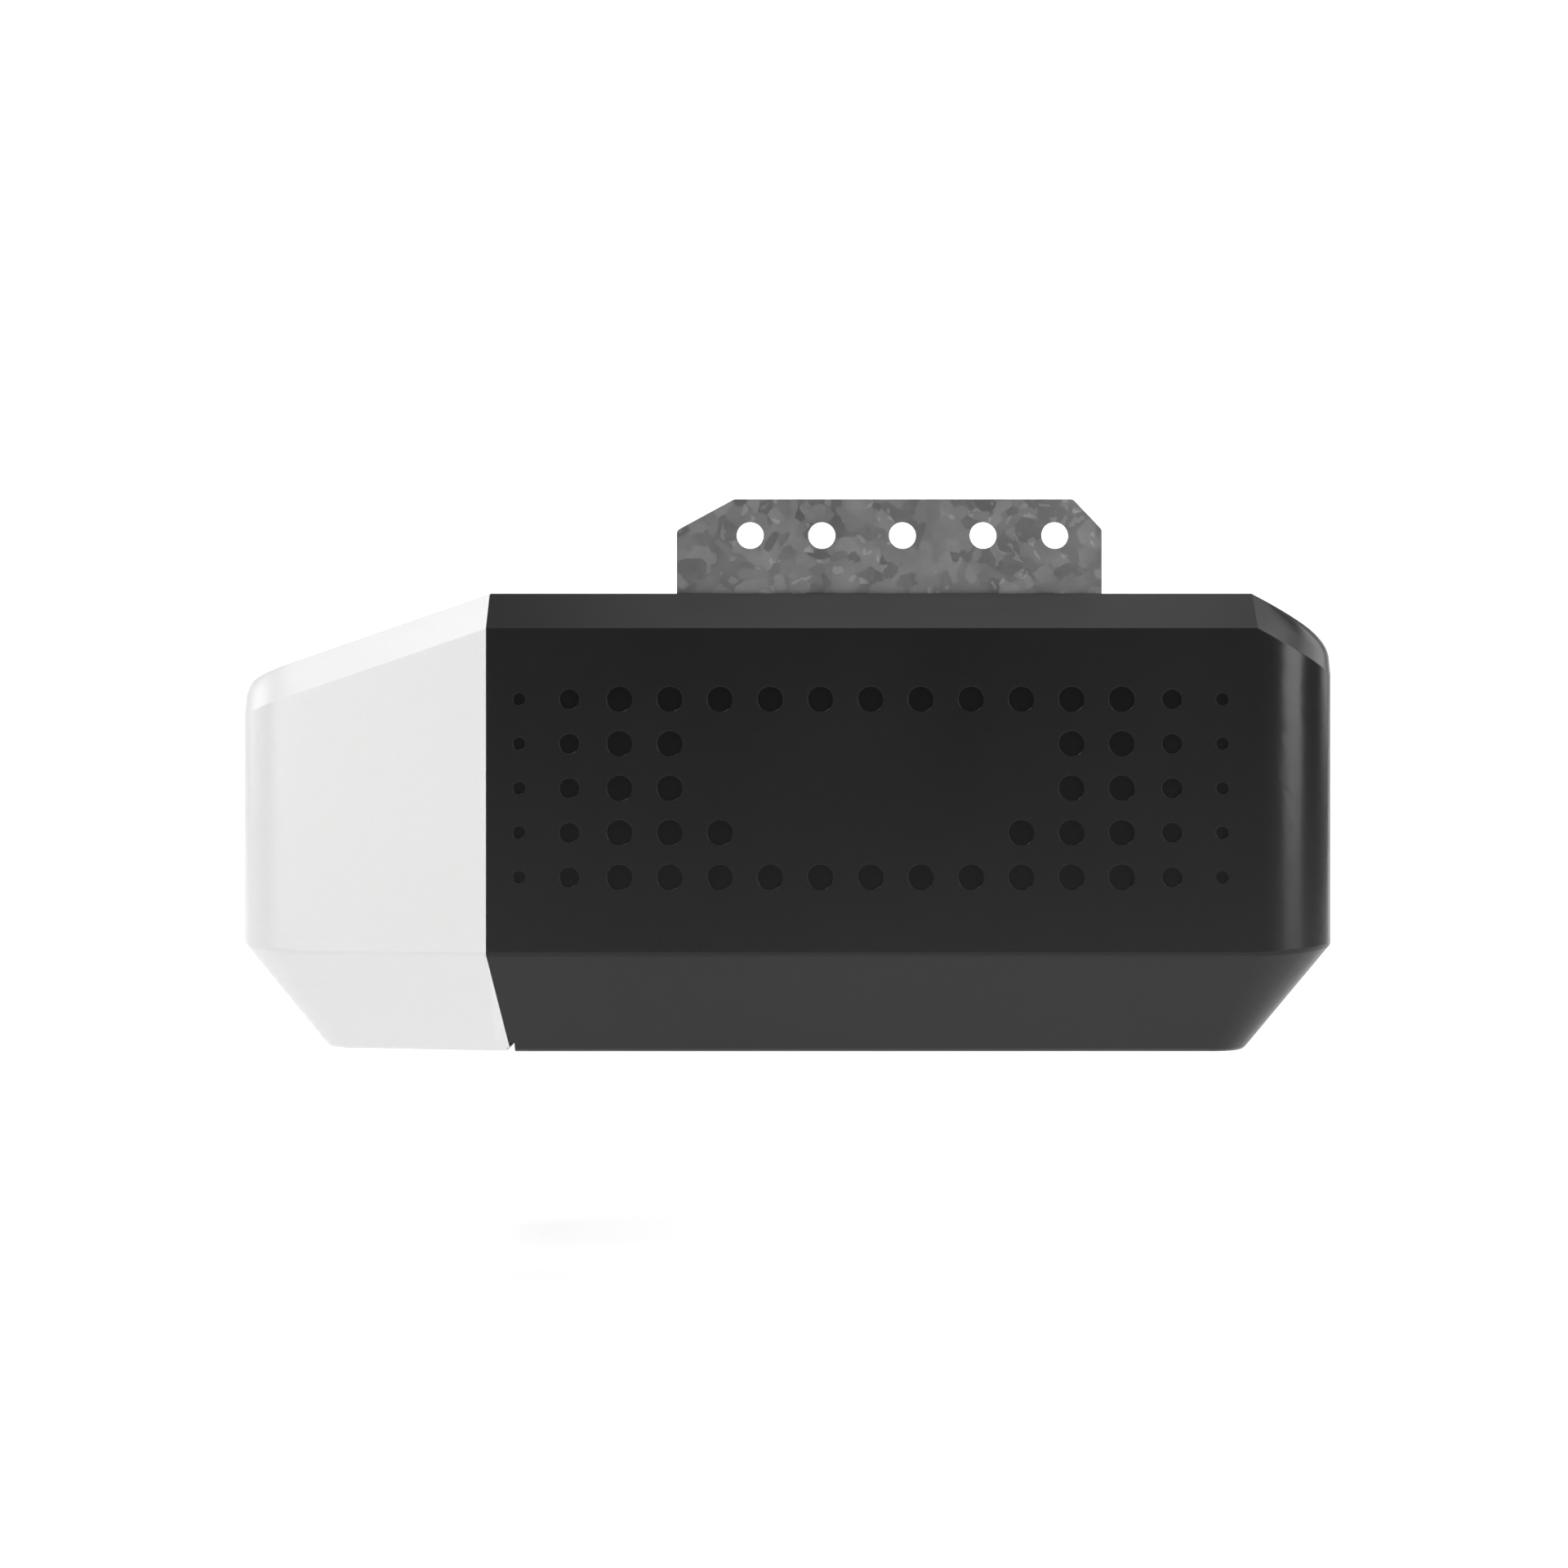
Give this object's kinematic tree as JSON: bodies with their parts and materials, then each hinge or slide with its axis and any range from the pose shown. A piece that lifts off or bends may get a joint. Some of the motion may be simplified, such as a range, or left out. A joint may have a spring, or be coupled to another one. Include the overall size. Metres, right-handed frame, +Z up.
{
  "type": "garage door opener",
  "caption": "Ceiling-mounted garage door opener: boxy dark cover with dimpled sides, hinged white light lens, hanger flanges, chain sprocket, motor, worm gear and bulb.",
  "frame": {"origin": "middle of the bounding box at the flat underside", "axes": "+X from the lamp end to the control end, +Y across the unit, +Z up towards the ceiling"},
  "size_m": [0.391, 0.25, 0.197],
  "materials": {
    "housing": "satin moulded",
    "lens": "satin frosted",
    "galvanised": "galvanised, spangled",
    "zinc_screws": "zinc plated",
    "steel": "ground",
    "dark_steel": "black oxide",
    "bronze": "sintered",
    "nylon_gear": "moulded",
    "laminations": "varnished",
    "copper": "enamelled wire",
    "bell_casting": "die cast",
    "black_plastic": "moulded",
    "rubber": "matt",
    "coil_tape": "wound tape",
    "capacitor_can": "drawn",
    "white_plastic": "moulded",
    "ceramic": "glazed",
    "brass_shell": "rolled",
    "bulb_cap": "rolled",
    "bulb_body": "moulded",
    "bulb_glass": "frosted",
    "panel": "fine texture",
    "light_pipe": "clear moulded",
    "board": "solder mask",
    "components": "moulded",
    "relay": "moulded",
    "connector": "moulded",
    "button_grey": "moulded",
    "button_yellow": "moulded",
    "terminal": "moulded",
    "tab_red": "moulded",
    "tab_white": "moulded",
    "tab_grey": "moulded"
  },
  "bodies": {
    "opener_body": {"board_chips": "components", "board_connectors": "connector", "board_relays": "relay", "board_standoffs": "white_plastic", "board_switches": "components", "bulb_base": "bulb_cap", "bulb_collar": "bulb_body", "bulb_globe": "bulb_glass", "bulkhead_screws": "zinc_screws", "capacitor_clip": "galvanised", "chassis": "galvanised", "chassis_screws": "zinc_screws", "control_panel": "panel", "cover": "housing", "gear_frame": "galvanised", "inlet_grommet": "rubber", "isolator_bolts": "zinc_screws", "lamp_bulkhead": "white_plastic", "lamp_socket": "ceramic", "lens_hinge_pins": "steel", "logic_board": "board", "motor_bearings": "bronze", "motor_bolts": "zinc_screws", "motor_end_bells": "bell_casting", "motor_isolators": "rubber", "motor_saddle": "galvanised", "rail_bolts": "zinc_screws", "rail_bracket": "galvanised", "run_capacitor": "capacitor_can", "shaft_bushes": "bronze", "socket_shell": "brass_shell", "speed_sensor": "black_plastic", "stator_core": "laminations", "stator_windings": "copper", "status_light_pipe": "light_pipe", "terminal_block": "terminal", "transformer_coil": "coil_tape", "transformer_core": "laminations", "transformer_strap": "galvanised", "travel_module": "white_plastic"},
    "rotor": {"motor_shaft": "steel", "rotor_core": "laminations", "worm": "steel", "cooling_fan": "black_plastic", "interrupter_cup": "black_plastic"},
    "output": {"output_shaft": "steel", "drive_gear": "nylon_gear", "sprocket": "dark_steel", "shaft_clips": "dark_steel", "travel_pinion": "black_plastic"},
    "lens": {"light_lens": "lens"},
    "travel_gear": {"travel_gear": "nylon_gear"},
    "up_button": {"up_button": "button_grey"},
    "adjust_button": {"adjust_button": "button_grey"},
    "down_button": {"down_button": "button_grey"},
    "learn_button": {"learn_button": "button_yellow"},
    "tab_red": {"terminal_tab_red": "tab_red"},
    "tab_white_1": {"terminal_tab_white_1": "tab_white"},
    "tab_white_2": {"terminal_tab_white_2": "tab_white"},
    "tab_grey": {"terminal_tab_grey": "tab_grey"}
  },
  "joints": [
    {"name": "rotor_spin", "type": "hinge", "parent": "opener_body", "child": "rotor", "pos_m": [0.098, 0.0305, 0.108], "axis": [1, 0, 0], "continuous": true},
    {"name": "output_spin", "type": "hinge", "parent": "opener_body", "child": "output", "pos_m": [0.025, 0, 0.108], "axis": [0, 0, 1], "continuous": true},
    {"name": "travel_gear_spin", "type": "hinge", "parent": "opener_body", "child": "travel_gear", "pos_m": [0.025, -0.03, 0.079], "axis": [0, 0, 1], "continuous": true},
    {"name": "lens_hinge", "type": "hinge", "parent": "opener_body", "child": "lens", "pos_m": [-0.0973, 0, 0.0016], "axis": [0, -1, 0], "range_deg": [0, 75]},
    {"name": "up_button_press", "type": "slide", "parent": "opener_body", "child": "up_button", "axis": [-1, 0, 0], "range_m": [0, 0.0015], "stiffness_N_per_m": 400},
    {"name": "adjust_button_press", "type": "slide", "parent": "opener_body", "child": "adjust_button", "axis": [-1, 0, 0], "range_m": [0, 0.0015], "stiffness_N_per_m": 400},
    {"name": "down_button_press", "type": "slide", "parent": "opener_body", "child": "down_button", "axis": [-1, 0, 0], "range_m": [0, 0.0015], "stiffness_N_per_m": 400},
    {"name": "learn_button_press", "type": "slide", "parent": "opener_body", "child": "learn_button", "axis": [-1, 0, 0], "range_m": [0, 0.0015], "stiffness_N_per_m": 400},
    {"name": "tab_red_press", "type": "slide", "parent": "opener_body", "child": "tab_red", "axis": [-1, 0, 0], "range_m": [0, 0.002], "stiffness_N_per_m": 600},
    {"name": "tab_white_1_press", "type": "slide", "parent": "opener_body", "child": "tab_white_1", "axis": [-1, 0, 0], "range_m": [0, 0.002], "stiffness_N_per_m": 600},
    {"name": "tab_white_2_press", "type": "slide", "parent": "opener_body", "child": "tab_white_2", "axis": [-1, 0, 0], "range_m": [0, 0.002], "stiffness_N_per_m": 600},
    {"name": "tab_grey_press", "type": "slide", "parent": "opener_body", "child": "tab_grey", "axis": [-1, 0, 0], "range_m": [0, 0.002], "stiffness_N_per_m": 600}
  ],
  "couplings": [
    {"joint": "output_spin", "follows": "rotor_spin", "ratio": 0.033333},
    {"joint": "travel_gear_spin", "follows": "rotor_spin", "ratio": -0.016667}
  ]
}
